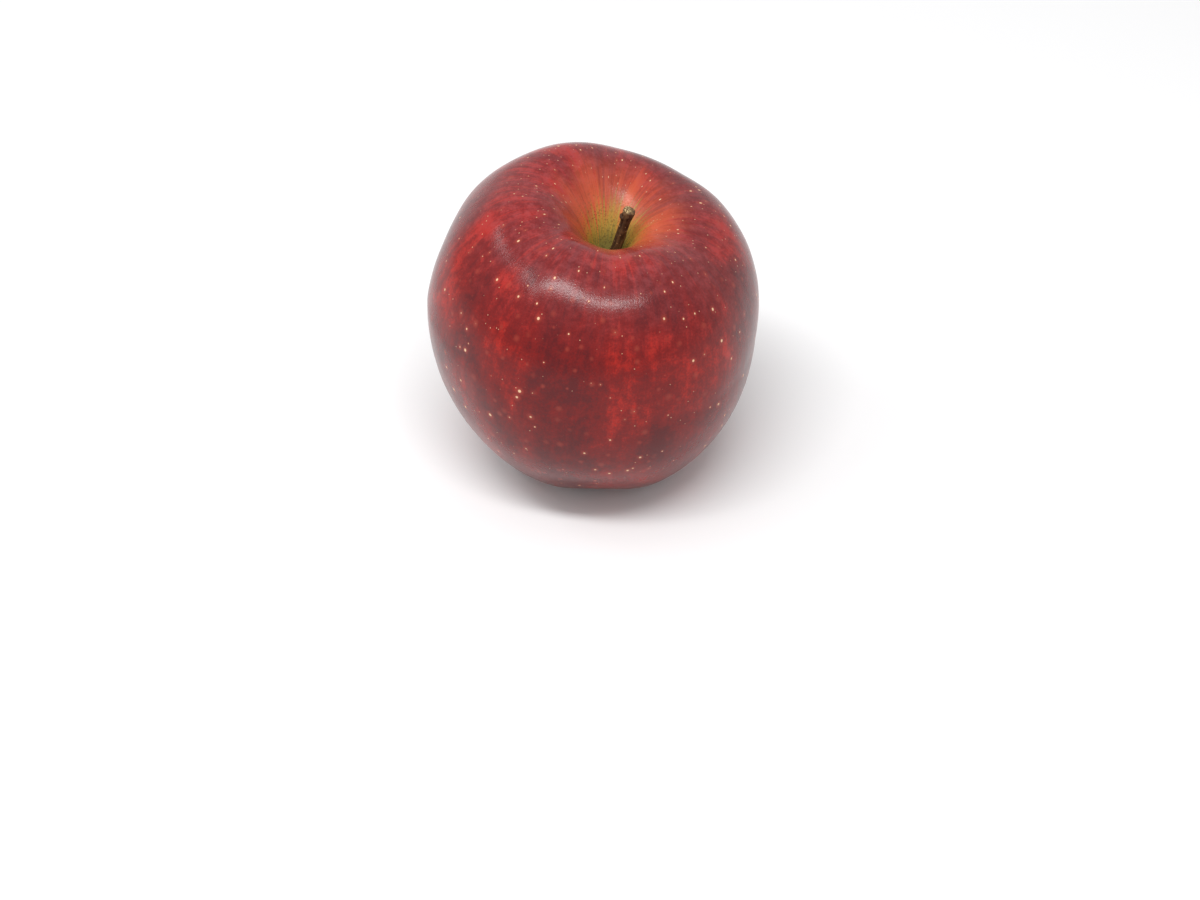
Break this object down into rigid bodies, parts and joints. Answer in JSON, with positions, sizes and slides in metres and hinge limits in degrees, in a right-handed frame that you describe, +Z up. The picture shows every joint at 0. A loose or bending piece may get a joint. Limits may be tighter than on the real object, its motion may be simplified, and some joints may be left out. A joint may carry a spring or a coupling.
{
  "type": "apple",
  "caption": "Ripe dark red apple with a short woody stem in a deep cavity and dried sepals in the hollow below.",
  "frame": {"origin": "bottom centre of the apple's box, on the surface it stands on", "axes": "+Z up from the basal lobes to the stem, +X towards the side the crown leans to, -Y towards the side that is seen in front"},
  "size_m": [0.0792, 0.08, 0.0753],
  "materials": {
    "skin": "waxy deep red skin with fine streaks, pale dots and an olive green stem cavity",
    "bark": "dry dark brown bark with a pale scar at the tip",
    "dry_leaf": "withered grey brown leaf with fine down",
    "dry_thread": "withered dark brown threads"
  },
  "bodies": {
    "root": {"fruit": "skin", "stem": "bark", "sepal_1": "dry_leaf", "sepal_2": "dry_leaf", "sepal_3": "dry_leaf", "sepal_4": "dry_leaf", "sepal_5": "dry_leaf", "stamen_01": "dry_thread", "stamen_02": "dry_thread", "stamen_03": "dry_thread", "stamen_04": "dry_thread", "stamen_05": "dry_thread", "stamen_06": "dry_thread", "stamen_07": "dry_thread", "stamen_08": "dry_thread", "stamen_09": "dry_thread", "stamen_10": "dry_thread", "style": "dry_thread"}
  },
  "joints": []
}
